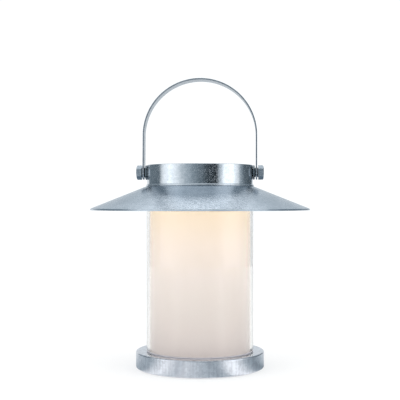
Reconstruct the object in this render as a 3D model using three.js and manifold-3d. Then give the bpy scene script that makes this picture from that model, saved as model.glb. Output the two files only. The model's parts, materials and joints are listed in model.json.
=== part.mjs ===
// Solar garden lantern in galvanised steel. A clear glass cylinder with an opal liner stands between
// a low round base and a wide conical roof. A collar on the roof holds a lift-out solar unit, and a
// flat bail handle turns on two hexagon bolts at the sides of the collar.
// Millimetres, +Z up, origin on the ground under the middle of the base, bail in the XZ plane.

import * as THREE from 'three';
import { mergeVertices } from 'three/addons/utils/BufferGeometryUtils.js';
import Module from 'manifold-3d';

const wasm = await Module();
wasm.setup();

// ---- Driving dimensions ------------------------------------------------------------------------

const overallHeight = 301;

const ringSteps = 40;               // facets round a large ring
const middleSteps = 24;             // round a piece about 20 mm across
const smallSteps = 16;              // round a hole, post or washer
const screwSteps = 12;
const touchGap = 0.1;               // left between two pieces that rest on each other
const slideGap = 0.3;               // left round a piece that slides or turns
const past = 1;                     // a cutting tool runs this far past the face it cuts

const footLift = 0.5;               // the feet hold the base's edge this far off the ground
const baseRadius = 66.5;
const baseTop = 17.9;
const baseSheet = 1.2;
const baseCorner = 1.6;             // outer bend radius at the base's upper edge
const baseHem = 2;                  // bend radius of the lower edge, which turns inwards

const glassRadius = 55.5;
const glassWall = 3;
const linerWall = 0.7;              // the opal sheet inside the glass
const gasketHeight = 0.8;

const roofRadius = 114;
const roofRimHeight = 163.6;
const roofHem = 1.4;                // height of the folded rim
const roofNeckRadius = 56.3;        // where the cone meets its flat inner flange
const roofNeckHeight = 188;
const roofSheet = 1;

const collarRadius = 55;
const collarTop = 210.2;
const collarSheet = 1.2;
const collarBead = 1.2;             // the bead at its foot stands out this far
const collarBeadHeight = 1.8;

const pivotHeight = 202.6;
const bailHalfSpan = 59.5;          // to the strap's outer face, and the arch's outer radius
const strapThickness = 1.5;
const strapWidth = 15;
const bailLean = THREE.MathUtils.degToRad(3);
const archSteps = 32;

const boltRadius = 4;
const hexFlats = 13;
const headEnd = 66.4;               // x of the bolt head's outer face
const headHeight = 5.8;
const washerRadius = 5;
const washerHeight = 0.8;
const lockNutHeight = 4;

const unitRadius = 48.6;
const unitBottom = 180.9;
const unitTop = 209.8;
const unitWall = 2;
const unitFloor = 2.2;
const panelCoverRadius = 45.2;
const panelCoverHeight = 1.8;
const panelRadius = 42.4;
const panelBoardHeight = 1.5;
const cellCount = 4;
const cellWidth = 15;
const cellLength = 56;
const cellGap = 0.8;
const cellHeight = 0.3;

const cellRadius = 7.2;             // rechargeable cell, size AA
const batteryLength = 49;
const batteryY = 24;
const ledRadius = 9;
const switchY = -25;
const screwRadius = 1.5;
const screwHeadRadius = 2.8;
const screwHeadHeight = 1.6;
const leadRadius = 0.7;

// ---- Sizes that follow from them ---------------------------------------------------------------

const glassInner = glassRadius - glassWall;
const linerOuter = glassInner - slideGap;
const linerInner = linerOuter - linerWall;
const glassBottom = baseTop + gasketHeight + 2 * touchGap;
const roofFlangeUnder = roofNeckHeight - roofSheet;
const glassTop = roofFlangeUnder - gasketHeight - 2 * touchGap;
const collarBottom = roofNeckHeight + touchGap;
const collarInner = collarRadius - collarSheet;
const carrierOuter = collarInner - slideGap;
const carrierSpigot = linerInner - slideGap;
const carrierInner = unitRadius + slideGap;
const carrierTop = unitTop - 0.4;
const carrierBottom = unitBottom - 6;
const ledgeTop = unitBottom - gasketHeight - 2 * touchGap;
const ledgeHeight = 2.4;
const ledgeInner = 45.5;
const bezelBottom = unitTop - 6;
const housingTop = bezelBottom - touchGap;
const floorTop = unitBottom + unitFloor;
const boltHole = boltRadius + slideGap;
const headInner = headEnd - headHeight;
const hexReach = hexFlats / Math.sqrt(3);
const lockNutOuter = Math.sqrt(collarInner ** 2 - hexReach ** 2) - slideGap;
const seatScrewCircle = 30;
const footCircle = 52;
const unitScrewCircle = 44.4;
const batteryHeight = floorTop + 1.5 + cellRadius;
const boardBottom = 189.5;
const boardHeight = 1.6;
const thirdTurns = [0, 1, 2].map((step) => step * Math.PI * 2 / 3);

// ---- Materials ---------------------------------------------------------------------------------

function finish(color, roughness, metalness) {
  return { color, roughness, metalness };
}

const galvanised = finish(0xb4bec8, 0.38, 1);
const zincPlated = finish(0x9aa6b2, 0.34, 1);
const nickelPlated = finish(0xc8c8c4, 0.3, 1);
const clearGlass = finish(0xeef4f2, 0.05, 0);
const opalPlastic = finish(0xf6ece0, 0.5, 0);
const clearPlastic = finish(0xdfe8ee, 0.1, 0);
const frostedPlastic = finish(0xfff2dc, 0.5, 0);
const whitePlastic = finish(0xeceae4, 0.45, 0);
const darkPlastic = finish(0x24272a, 0.5, 0);
const blackRubber = finish(0x1c1c1d, 0.85, 0);
const paleSilicone = finish(0xb4b1b8, 0.6, 0);
const siliconBlue = finish(0x14203c, 0.25, 0.3);
const boardGreen = finish(0x1d5b38, 0.5, 0);
const boardWhite = finish(0xf2f2ee, 0.5, 0);
const phosphorYellow = finish(0xf0cc50, 0.5, 0);
const cellSleeve = finish(0x2f7d5a, 0.4, 0);
const redLead = finish(0xb3261e, 0.5, 0);
const blackLead = finish(0x1a1a1a, 0.5, 0);

// ---- Shape helpers -----------------------------------------------------------------------------

// Points [radius, height] on an arc from angle start to angle end, in degrees.
function arc(centreR, centreZ, radius, start, end, steps = 3) {
  const points = [];
  for (let step = 0; step <= steps; step += 1) {
    const angle = THREE.MathUtils.degToRad(start + (end - start) * step / steps);
    points.push([centreR + radius * Math.cos(angle), centreZ + radius * Math.sin(angle)]);
  }
  return points;
}

// An outline of [radius, height] points, anticlockwise, turned about +Z.
function turned(outline, steps = ringSteps) {
  const points = outline.map(([radius, height]) => new THREE.Vector2(radius, height));
  const meetsAxis = outline[0][0] === 0;
  if (!meetsAxis) points.push(points[0].clone());
  return new THREE.LatheGeometry(points, steps).rotateX(Math.PI / 2);
}

function flatRing(inner, outer, bottom, top, steps = ringSteps) {
  return turned([[inner, bottom], [outer, bottom], [outer, top], [inner, top]], steps);
}

function disc(radius, bottom, top, steps = smallSteps) {
  return turned([[0, bottom], [radius, bottom], [radius, top], [0, top]], steps);
}

function box(sizeX, sizeY, bottom, top, x = 0, y = 0) {
  return new THREE.BoxGeometry(sizeX, sizeY, top - bottom).translate(x, y, (bottom + top) / 2);
}

// A flat outline of [x, y] points raised from bottom to top.
function raised(outline, bottom, top) {
  const shape = new THREE.Shape(outline.map(([x, y]) => new THREE.Vector2(x, y)));
  const options = { depth: top - bottom, bevelEnabled: false };
  return new THREE.ExtrudeGeometry(shape, options).translate(0, 0, bottom);
}

// A tube through the points, each [x, y, z].
function tube(points, radius, steps, sides = 8) {
  const path = new THREE.CatmullRomCurve3(points.map((point) => new THREE.Vector3(...point)));
  const corners = [];
  for (let side = 0; side < sides; side += 1) {
    const angle = side * 2 * Math.PI / sides;
    corners.push(new THREE.Vector2(radius * Math.cos(angle), radius * Math.sin(angle)));
  }
  return new THREE.ExtrudeGeometry(new THREE.Shape(corners), { steps, extrudePath: path });
}

// Turns a shape made about +Z so that it lies about +X.
function alongX(geometry) {
  return geometry.rotateY(Math.PI / 2);
}

function solidFrom(geometry) {
  const bare = geometry.clone();
  bare.deleteAttribute('normal');
  bare.deleteAttribute('uv');
  const merged = mergeVertices(bare);
  const corners = merged.index.array;
  const triVerts = [];
  for (let first = 0; first < corners.length; first += 3) {
    const [a, b, c] = corners.slice(first, first + 3);
    if (a !== b && b !== c && c !== a) triVerts.push(a, b, c);
  }
  const vertProperties = merged.attributes.position.array;
  const mesh = new wasm.Mesh({ numProp: 3, vertProperties, triVerts: Uint32Array.from(triVerts) });
  return new wasm.Manifold(mesh);
}

function geometryFrom(solid) {
  const mesh = solid.getMesh();
  const geometry = new THREE.BufferGeometry();
  geometry.setAttribute('position', new THREE.BufferAttribute(mesh.vertProperties, 3));
  geometry.setIndex(new THREE.BufferAttribute(mesh.triVerts, 1));
  return geometry;
}

function joined(...geometries) {
  return geometryFrom(geometries.map(solidFrom).reduce((whole, piece) => whole.add(piece)));
}

function cut(geometry, ...tools) {
  const start = solidFrom(geometry);
  return geometryFrom(tools.map(solidFrom).reduce((whole, tool) => whole.subtract(tool), start));
}

function common(geometry, other) {
  return geometryFrom(solidFrom(geometry).intersect(solidFrom(other)));
}

// Copies of a tool at the three turns of a circle.
function roundCircle(tool, radius, turns) {
  return turns.map((turn) => tool.clone().translate(radius * Math.cos(turn), radius * Math.sin(turn), 0));
}

// A hexagon whose first corner lies at the angle start from +X.
function hexagon(reach, start) {
  const corners = [];
  for (let side = 0; side < 6; side += 1) {
    const angle = start + side * Math.PI / 3;
    corners.push([reach * Math.cos(angle), reach * Math.sin(angle)]);
  }
  return corners;
}

// ---- Base --------------------------------------------------------------------------------------

const screwTurns = thirdTurns.map((turn) => turn + Math.PI / 2);
const footTurns = thirdTurns.map((turn) => turn - Math.PI / 2);
const unitScrewTurns = thirdTurns.map((turn) => turn - Math.PI / 2);
const bossRadius = 3.4;

function baseDish() {
  const innerRadius = baseRadius - baseSheet;
  const innerCorner = 0.6;
  const underside = baseTop - baseSheet;
  const shell = turned([
    [0, underside],
    [innerRadius - innerCorner, underside],
    [innerRadius, underside - innerCorner],
    ...arc(baseRadius - baseHem, footLift + baseHem, baseHem - baseSheet, 0, -90),
    ...arc(baseRadius - baseHem, footLift + baseHem, baseHem, -90, 0),
    ...arc(baseRadius - baseCorner, baseTop - baseCorner, baseCorner, 0, 90),
    [0, baseTop],
  ]);
  const bossHole = disc(bossRadius + slideGap, underside - past, baseTop + past);
  return cut(shell, ...roundCircle(bossHole, seatScrewCircle, screwTurns));
}

const plateBottom = footLift + 1.4;
const plateTop = plateBottom + 1;
const plateRadius = 62.6;
const footStem = 2.8;
const footRadius = 6;
const plugRadius = 3.6;             // the foot's plug snaps through its hole in the plate

function floorPlate() {
  const plate = disc(plateRadius, plateBottom, plateTop, ringSteps);
  const screwHole = disc(screwRadius + slideGap, plateBottom - past, plateTop + past);
  const footHole = disc(footStem + touchGap, plateBottom - past, plateTop + past);
  return cut(
    plate,
    ...roundCircle(screwHole, seatScrewCircle, screwTurns),
    ...roundCircle(footHole, footCircle, footTurns),
  );
}

function rubberFoot() {
  const flangeTop = plateBottom - touchGap;
  const plugBottom = plateTop + touchGap;
  return turned([
    [0, 0], [footRadius - 0.6, 0], [footRadius, 0.6], [footRadius, flangeTop],
    [footStem, flangeTop], [footStem, plugBottom], [plugRadius, plugBottom],
    [plugRadius, plugBottom + 0.6], [plugRadius - 1.4, plugBottom + 2], [0, plugBottom + 2],
  ], smallSteps);
}

// A pan-head screw along +Z with its head's upper face at height 0 and its tip at height length.
function panScrew(length) {
  const crown = 0.7;
  const point = 1.5;
  return turned([
    [0, -screwHeadHeight], [screwHeadRadius - crown, -screwHeadHeight],
    [screwHeadRadius, crown - screwHeadHeight], [screwHeadRadius, 0],
    [screwRadius, 0], [screwRadius, length - point], [0, length],
  ], screwSteps);
}

const cupFloor = 2;
const cupFloorTop = baseTop + touchGap + cupFloor;
const cupRim = baseTop + 7.5;
const cupWall = 1.8;

function seatCup() {
  const outer = linerInner - slideGap;
  const bottom = baseTop + touchGap;
  const bowl = turned([
    [0, bottom], [outer, bottom], [outer, cupRim], [outer - cupWall, cupRim],
    [outer - cupWall, cupFloorTop], [0, cupFloorTop],
  ]);
  const boss = disc(bossRadius, plateTop + touchGap, cupFloorTop);
  const bore = disc(screwRadius + touchGap, plateTop - past, bottom + cupFloor / 2);
  const bosses = roundCircle(boss, seatScrewCircle, screwTurns);
  return cut(joined(bowl, ...bosses), ...roundCircle(bore, seatScrewCircle, screwTurns));
}

// A flat silicone ring under or over the glass and its liner, from the height bottom up.
function glassGasket(bottom) {
  return flatRing(linerInner, glassRadius - 0.2, bottom, bottom + gasketHeight);
}

// ---- Glass, roof and collar --------------------------------------------------------------------

function glassCylinder() {
  const edge = 1.4;
  return turned([
    [glassInner, glassBottom],
    ...arc(glassRadius - edge, glassBottom + edge, edge, -90, 0),
    [glassRadius, glassTop],
    [glassInner, glassTop],
  ]);
}

function opalLiner() {
  return flatRing(linerInner, linerOuter, glassBottom, glassTop);
}

function roofCone() {
  const rimTop = roofRimHeight + roofHem;
  const edge = 0.3;
  const hemInner = roofRadius - 2.2;
  const coneEnd = roofRadius - edge;
  const slope = (roofNeckHeight - rimTop) / (coneEnd - roofNeckRadius);
  const drop = roofSheet * Math.hypot(1, slope);
  const hemMeet = roofNeckHeight - slope * (hemInner - roofNeckRadius) - drop;
  const hole = linerInner + touchGap;
  return turned([
    [hole, roofFlangeUnder],
    [roofNeckRadius, roofFlangeUnder],
    [hemInner, hemMeet],
    [hemInner, roofRimHeight + edge],
    [hemInner + edge, roofRimHeight],
    [roofRadius - edge, roofRimHeight],
    [roofRadius, roofRimHeight + edge],
    [roofRadius, rimTop - edge],
    [coneEnd, rimTop],
    [roofNeckRadius, roofNeckHeight],
    [hole, roofNeckHeight],
  ]);
}

// A hole along X right through both sides of the collar at the pivot's height.
function boltBore() {
  const reach = collarRadius + past;
  return alongX(disc(boltHole, -reach, reach)).translate(0, 0, pivotHeight);
}

function collarRing() {
  const beadTop = collarBottom + collarBeadHeight;
  const beadOuter = collarRadius + collarBead;
  const round = collarBead / 2;
  const edge = 0.3;
  const band = turned([
    [collarInner, collarBottom],
    [beadOuter - round, collarBottom],
    [beadOuter, collarBottom + round],
    [beadOuter, beadTop - round],
    [beadOuter - round, beadTop],
    [collarRadius, beadTop + edge],
    [collarRadius, collarTop - edge],
    [collarRadius - edge, collarTop],
    [collarInner, collarTop],
  ]);
  return cut(band, boltBore());
}

// The ring inside the collar. A slot in its top on each side holds a bolt's lock nut.
function carrierRing() {
  const shoulder = roofNeckHeight + touchGap;
  const ring = turned([
    [ledgeInner, ledgeTop - ledgeHeight],
    [carrierInner, carrierBottom],
    [carrierSpigot, carrierBottom],
    [carrierSpigot, shoulder],
    [carrierOuter, shoulder],
    [carrierOuter, carrierTop],
    [carrierInner, carrierTop],
    [carrierInner, ledgeTop],
    [ledgeInner, ledgeTop],
  ]);
  const slotWidth = 2 * (hexReach + slideGap);
  const slotFloor = pivotHeight - hexFlats / 2 - slideGap;
  const slotLength = 2 * (carrierOuter + past);
  const slot = box(slotLength, slotWidth, slotFloor, carrierTop + past);
  return cut(ring, slot);
}

// ---- Bail and its bolts ------------------------------------------------------------------------

// The bail in its own frame: pivot at the origin, standing up along +Z, strap edges along Y.
function bailStrap() {
  const lift = overallHeight - pivotHeight;
  const reach = (lift - strapWidth / 2 * Math.sin(bailLean)) / Math.cos(bailLean);
  const archCentre = reach - bailHalfSpan;
  const below = -strapWidth / 2;
  const outer = arc(0, archCentre, bailHalfSpan, 0, 180, archSteps);
  const inner = arc(0, archCentre, bailHalfSpan - strapThickness, 180, 0, archSteps);
  const outline = [
    [bailHalfSpan, below], ...outer, [-bailHalfSpan, below],
    [-bailHalfSpan + strapThickness, below], ...inner, [bailHalfSpan - strapThickness, below],
  ];
  const strip = raised(outline, -strapWidth / 2, strapWidth / 2).rotateX(Math.PI / 2);
  const above = reach + past;
  const wide = bailHalfSpan + past;
  const side = [...arc(0, 0, strapWidth / 2, 180, 360, 12), [strapWidth / 2, above], [below, above]];
  const roundedEnds = raised(side, -wide, wide).rotateX(Math.PI / 2).rotateZ(Math.PI / 2);
  const pivotHole = alongX(disc(boltHole, -wide, wide));
  return cut(common(strip, roundedEnds), pivotHole);
}

const cornerUp = 0;                 // start angles of a hexagon before it is laid along +X
const flatUp = Math.PI / 6;

// The pieces of one bolted pivot lie along +X, where x is measured from the lantern's axis.
function bailBolt() {
  const chamfer = 1.3;
  const blank = hexReach + touchGap;
  const dome = turned([
    [0, headInner], [blank, headInner], [blank, headEnd - chamfer],
    [hexFlats / 2 - 0.4, headEnd], [0, headEnd],
  ], middleSteps);
  const head = common(raised(hexagon(hexReach, cornerUp), headInner, headEnd), dome);
  const shank = disc(boltRadius, lockNutOuter - lockNutHeight, headInner + past);
  return alongX(joined(head, shank));
}

function hexNut(inner, outer, start) {
  const block = raised(hexagon(hexReach, start), inner, outer);
  return alongX(cut(block, disc(boltRadius + touchGap, inner - past, outer + past)));
}

function pivotWasher(inner, outer) {
  return alongX(flatRing(boltHole, washerRadius, inner, outer, smallSteps));
}

const strapInner = bailHalfSpan - strapThickness;
const innerWasherOuter = strapInner - touchGap;
const innerWasherInner = innerWasherOuter - washerHeight;
const outerWasherInner = bailHalfSpan + touchGap;
const outerWasherOuter = headInner - touchGap;
const spacerNutInner = collarRadius + touchGap;
const spacerNutOuter = innerWasherInner - touchGap;

const pivotPieces = [
  ['bail_bolt', zincPlated, bailBolt],
  ['outer_washer', darkPlastic, () => pivotWasher(outerWasherInner, outerWasherOuter)],
  ['inner_washer', darkPlastic, () => pivotWasher(innerWasherInner, innerWasherOuter)],
  ['spacer_nut', zincPlated, () => hexNut(spacerNutInner, spacerNutOuter, cornerUp)],
  ['lock_nut', zincPlated, () => hexNut(lockNutOuter - lockNutHeight, lockNutOuter, flatUp)],
];

// ---- Solar unit --------------------------------------------------------------------------------

const coverLip = 0.5;               // the bezel's lip stands this far over the clear cover
const coverTop = unitTop - coverLip;
const coverBottom = coverTop - panelCoverHeight;
const boardSeat = bezelBottom + 1.2;

function panelBezel() {
  const coverRebate = panelCoverRadius + slideGap;
  const boardRebate = panelRadius + touchGap;
  const innerLip = boardRebate - 2;
  const rim = 0.8;
  const ring = turned([
    [innerLip, bezelBottom],
    [unitRadius, bezelBottom],
    [unitRadius, unitTop - rim],
    [unitRadius - rim, unitTop],
    [coverRebate + coverLip, unitTop],
    [coverRebate, coverTop],
    [coverRebate, coverBottom - touchGap],
    [boardRebate, coverBottom - touchGap],
    [boardRebate, boardSeat],
    [innerLip, boardSeat],
  ]);
  const pilot = disc(screwRadius + touchGap, bezelBottom - past, bezelBottom + 3);
  return cut(ring, ...roundCircle(pilot, unitScrewCircle, unitScrewTurns));
}

function panelCover() {
  return disc(panelCoverRadius, coverBottom, coverTop, ringSteps);
}

function panelBoard() {
  const bottom = boardSeat + touchGap;
  return disc(panelRadius, bottom, bottom + panelBoardHeight, ringSteps);
}

function solarCell(index) {
  const bottom = boardSeat + panelBoardHeight + 2 * touchGap;
  const x = (index - (cellCount - 1) / 2) * (cellWidth + cellGap);
  return box(cellWidth, cellLength, bottom, bottom + cellHeight, x, 0);
}

function unitSeal() {
  const bottom = ledgeTop + touchGap;
  return flatRing(ledgeInner + slideGap, unitRadius - 0.6, bottom, bottom + gasketHeight);
}

const screwPocketDepth = 1.9;
const screwBossRadius = 3.2;
const postRadius = 2.5;
const boardPostX = 16;
const boardPostY = -8;
const boardPosts = [[boardPostX, boardPostY], [-boardPostX, boardPostY]];

const doorHalf = 26.5;
const doorFront = 16;
const doorBack = 32;
const doorHeight = 1.2;
const doorTab = 4;
const doorLedge = 2;                // width of the floor's edge that the door lies on
const doorScrewX = 30;

const lampHole = 6;
const slotLength = 8.2;
const slotWidth = 3.8;

// The battery door's outline, grown by a margin: a rectangle with a round tab for its screw.
function doorOutline(margin) {
  const tab = doorTab + margin;
  const tabAngle = 60;
  const tabSide = tab * Math.sin(THREE.MathUtils.degToRad(tabAngle));
  const side = doorHalf + margin;
  return [
    [-side, doorFront - margin],
    [side, doorFront - margin],
    [side, batteryY - tabSide],
    ...arc(doorScrewX, batteryY, tab, -tabAngle, tabAngle, 6),
    [side, batteryY + tabSide],
    [side, doorBack + margin],
    [-side, doorBack + margin],
  ];
}

// Everything that is cut out of the housing's floor.
function floorOpenings() {
  const from = unitBottom - past;
  const through = floorTop + past;
  const doorWidth = 2 * (doorHalf - doorLedge);
  const doorDepth = doorBack - doorFront - doorLedge;
  const bore = disc(screwRadius + touchGap, from, housingTop + past);
  const pocket = disc(screwHeadRadius + slideGap, from, unitBottom + screwPocketDepth);
  const doorBore = disc(screwRadius + touchGap, from, floorTop + 3);
  return [
    ...roundCircle(bore, unitScrewCircle, unitScrewTurns),
    ...roundCircle(pocket, unitScrewCircle, unitScrewTurns),
    doorBore.translate(doorScrewX, batteryY, 0),
    raised(doorOutline(slideGap), from, unitBottom + doorHeight + touchGap),
    box(doorWidth, doorDepth, from, through, 0, batteryY),
    box(slotLength, slotWidth, from, through, 0, switchY),
    disc(lampHole, from, through),
  ];
}

function unitHousing() {
  const edge = 0.6;
  const inner = unitRadius - unitWall;
  const rooted = floorTop - past;
  const cup = turned([
    [0, unitBottom],
    [unitRadius - edge, unitBottom],
    [unitRadius, unitBottom + edge],
    [unitRadius, housingTop],
    [inner, housingTop],
    [inner, floorTop],
    [0, floorTop],
  ]);
  const boss = disc(screwBossRadius, unitBottom, housingTop);
  const doorPost = disc(postRadius, rooted, floorTop + 4).translate(doorScrewX, batteryY, 0);
  const post = disc(postRadius, rooted, boardBottom - touchGap);
  const postBore = disc(screwRadius + touchGap, boardBottom - 5, boardBottom + past);
  const posts = boardPosts.map(([x, y]) => post.clone().translate(x, y, 0));
  const postBores = boardPosts.map(([x, y]) => postBore.clone().translate(x, y, 0));
  const bosses = roundCircle(boss, unitScrewCircle, unitScrewTurns);
  return cut(joined(cup, doorPost, ...posts, ...bosses), ...postBores, ...floorOpenings());
}

function batteryDoor() {
  const top = unitBottom + doorHeight;
  const screwHole = disc(screwRadius + slideGap, unitBottom - past, top + past);
  return cut(raised(doorOutline(0), unitBottom, top), screwHole.translate(doorScrewX, batteryY, 0));
}

// ---- Cell, boards, lamp and switch -------------------------------------------------------------

function batteryCell() {
  const half = batteryLength / 2;
  const edge = 0.6;
  const nub = 2.7;
  const nubHeight = 1.2;
  const can = turned([
    [0, -half], [cellRadius - edge, -half], [cellRadius, edge - half],
    [cellRadius, half - nubHeight - edge], [cellRadius - edge, half - nubHeight],
    [nub, half - nubHeight], [nub, half], [0, half],
  ], smallSteps);
  return alongX(can).translate(0, batteryY, batteryHeight);
}

const contactX = batteryLength / 2 + touchGap;
const contactSheet = 0.5;
const contactHalf = 6;

function contactPlate(x) {
  const bottom = batteryHeight - contactHalf;
  const top = batteryHeight + contactHalf;
  return box(contactSheet, 2 * contactHalf, bottom, top, x, batteryY);
}

function plusContact() {
  return contactPlate(contactX + contactSheet / 2);
}

// A coil of wire that widens towards its plate and presses on the cell's flat end.
function springContact() {
  const wire = 0.4;
  const turns = 2.5;
  const stations = 24;
  const length = 1.8;
  const start = -contactX - wire;
  const points = [];
  for (let step = 0; step <= stations; step += 1) {
    const share = step / stations;
    const angle = share * turns * 2 * Math.PI;
    const radius = 3 + 2 * share;
    const y = batteryY + radius * Math.cos(angle);
    const z = batteryHeight + radius * Math.sin(angle);
    points.push([start - length * share, y, z]);
  }
  const plateX = start - length - contactSheet / 2;
  return joined(tube(points, wire, 30, 6), contactPlate(plateX));
}

const boardTop = boardBottom + boardHeight;

function circuitBoard() {
  const board = box(44, 34, boardBottom, boardTop, 0, -19);
  const hole = disc(screwRadius + slideGap, boardBottom - past, boardTop + past);
  return cut(board, ...boardPosts.map(([x, y]) => hole.clone().translate(x, y, 0)));
}

const ledBoardBottom = floorTop + touchGap;
const ledBoardTop = ledBoardBottom + boardHeight;

function ledBoard() {
  return disc(ledRadius, ledBoardBottom, ledBoardTop);
}

function ledChip() {
  const size = 5;
  const top = ledBoardBottom - touchGap;
  return box(size, size, top - 1, top);
}

// A frosted cap under the housing's middle, half as deep as it is wide and open at its top.
function ledLens() {
  const top = unitBottom - touchGap;
  const radius = 11;
  const wall = 1.2;
  const flatten = 0.5;
  const dome = (reach) => arc(0, 0, reach, -90, 0, 4).map(([r, z]) => [r, top + z * flatten]);
  return turned([...dome(radius), ...dome(radius - wall).reverse()], middleSteps);
}

const switchTravel = 3;
const knobLength = 4;
const knobWidth = 3;
const knobDrop = 2.4;               // the knob stands this far out of the housing's underside

// The knob at the off end of its travel along +X.
function switchKnob() {
  const bottom = unitBottom - knobDrop;
  return box(knobLength, knobWidth, bottom, floorTop - touchGap, -switchTravel / 2, switchY);
}

function switchCase() {
  const bottom = floorTop + slideGap;
  return box(13, 6, bottom, bottom + 5.3, 0, switchY);
}

const leadGap = 0.8;                // a slanting end stops this far from the board it meets
const panelEnd = boardSeat + touchGap - leadGap;
const boardUpperEnd = boardTop + leadGap;
const boardLowerEnd = boardBottom - leadGap;
const ledEnd = ledBoardTop + leadGap;

const leads = [
  ['panel_lead_plus', redLead, [4, -16, panelEnd], [9, -12, boardUpperEnd], 2],
  ['panel_lead_minus', blackLead, [-4, -16, panelEnd], [-9, -12, boardUpperEnd], -2],
  ['led_lead_plus', redLead, [4, -4.5, ledEnd], [6, -6, boardLowerEnd], 1],
  ['led_lead_minus', blackLead, [-4, -4.5, ledEnd], [-6, -6, boardLowerEnd], -1],
];

// A wire from one [x, y, z] point to another that bows sideways along X.
function lead(from, to, sideways) {
  const [x, y, z] = from.map((value, axis) => (value + to[axis]) / 2);
  return tube([from, [x + sideways, y, z], to], leadRadius, 8, 6);
}

// ---- Assembly ----------------------------------------------------------------------------------

function place(parent, name, look, geometry, x = 0, y = 0, z = 0) {
  const mesh = new THREE.Mesh(geometry, new THREE.MeshStandardMaterial(look));
  mesh.name = name;
  mesh.position.set(x, y, z);
  parent.add(mesh);
  return mesh;
}

// Numbered copies of one piece round a circle.
function placeRound(parent, name, look, geometry, radius, turns, z = 0) {
  turns.forEach((turn, index) => {
    const x = radius * Math.cos(turn);
    const y = radius * Math.sin(turn);
    place(parent, `${name}_${index + 1}`, look, geometry, x, y, z);
  });
}

function buildBase() {
  const base = new THREE.Group();
  place(base, 'base_dish', galvanised, baseDish());
  place(base, 'base_floor_plate', galvanised, floorPlate());
  placeRound(base, 'rubber_foot', blackRubber, rubberFoot(), footCircle, footTurns);
  const screw = panScrew(baseTop - plateBottom);
  const screwZ = plateBottom - touchGap;
  placeRound(base, 'floor_screw', zincPlated, screw, seatScrewCircle, screwTurns, screwZ);
  place(base, 'glass_seat_cup', whitePlastic, seatCup());
  place(base, 'glass_seat_gasket', paleSilicone, glassGasket(baseTop + touchGap));
  return base;
}

function buildHead() {
  const head = new THREE.Group();
  place(head, 'glass_cylinder', clearGlass, glassCylinder());
  place(head, 'opal_liner', opalPlastic, opalLiner());
  place(head, 'glass_top_gasket', paleSilicone, glassGasket(glassTop + touchGap));
  place(head, 'roof_cone', galvanised, roofCone());
  place(head, 'collar_ring', galvanised, collarRing());
  place(head, 'carrier_ring', darkPlastic, carrierRing());
  return head;
}

// One bolted pivot on the +X side; turned half round, it is the other side's.
function buildPivot(side, turn) {
  const pivot = new THREE.Group();
  pivot.position.z = pivotHeight;
  pivot.rotation.z = turn;
  for (const [name, look, shape] of pivotPieces) {
    place(pivot, `${name}_${side}`, look, shape());
  }
  return pivot;
}

function buildBail() {
  const bail = new THREE.Group();
  bail.position.z = pivotHeight;
  bail.rotation.x = -bailLean;
  place(bail, 'bail_strap', galvanised, bailStrap());
  return bail;
}

function buildSolarUnit() {
  const unit = new THREE.Group();
  place(unit, 'unit_seal_ring', blackRubber, unitSeal());
  place(unit, 'unit_housing', whitePlastic, unitHousing());
  const screw = panScrew(bezelBottom + 2 - unitBottom - screwPocketDepth);
  const screwZ = unitBottom + screwPocketDepth - touchGap;
  placeRound(unit, 'unit_screw', zincPlated, screw, unitScrewCircle, unitScrewTurns, screwZ);
  place(unit, 'panel_bezel', darkPlastic, panelBezel());
  place(unit, 'panel_cover', clearPlastic, panelCover());
  place(unit, 'panel_board', boardWhite, panelBoard());
  for (let index = 0; index < cellCount; index += 1) {
    place(unit, `solar_cell_${index + 1}`, siliconBlue, solarCell(index));
  }
  return unit;
}

function buildElectronics() {
  const inside = new THREE.Group();
  place(inside, 'battery_cell', cellSleeve, batteryCell());
  place(inside, 'battery_contact_plus', nickelPlated, plusContact());
  place(inside, 'battery_contact_spring', nickelPlated, springContact());
  place(inside, 'battery_door', whitePlastic, batteryDoor());
  const doorScrewZ = unitBottom - touchGap;
  place(inside, 'battery_door_screw', zincPlated, panScrew(4.4), doorScrewX, batteryY, doorScrewZ);
  place(inside, 'circuit_board', boardGreen, circuitBoard());
  const boardScrewZ = boardTop + slideGap;
  boardPosts.forEach(([x, y], index) => {
    const screw = panScrew(4).rotateX(Math.PI);
    place(inside, `board_screw_${index + 1}`, zincPlated, screw, x, y, boardScrewZ);
  });
  place(inside, 'led_board', boardWhite, ledBoard());
  place(inside, 'led_chip', phosphorYellow, ledChip());
  place(inside, 'led_lens', frostedPlastic, ledLens());
  place(inside, 'switch_case', darkPlastic, switchCase());
  place(inside, 'switch_knob', darkPlastic, switchKnob());
  for (const [name, look, from, to, sideways] of leads) {
    place(inside, name, look, lead(from, to, sideways));
  }
  return inside;
}

const group = new THREE.Group();
group.add(buildBase());
group.add(buildHead());
group.add(buildPivot('right', 0));
group.add(buildPivot('left', Math.PI));
group.add(buildBail());
group.add(buildSolarUnit());
group.add(buildElectronics());

export default group;
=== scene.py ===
"""Looks for the solar garden lantern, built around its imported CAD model.

Metres, +Z up, origin on the ground under the middle of the base. The bail stands in the XZ plane,
and the front is towards -Y. Every visible CAD node is replaced by a finer piece of the same size.
"""

import json
from math import copysign, cos, hypot, pi, radians, sin, tan

import bmesh
import bpy
from mathutils import Matrix, Vector


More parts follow.
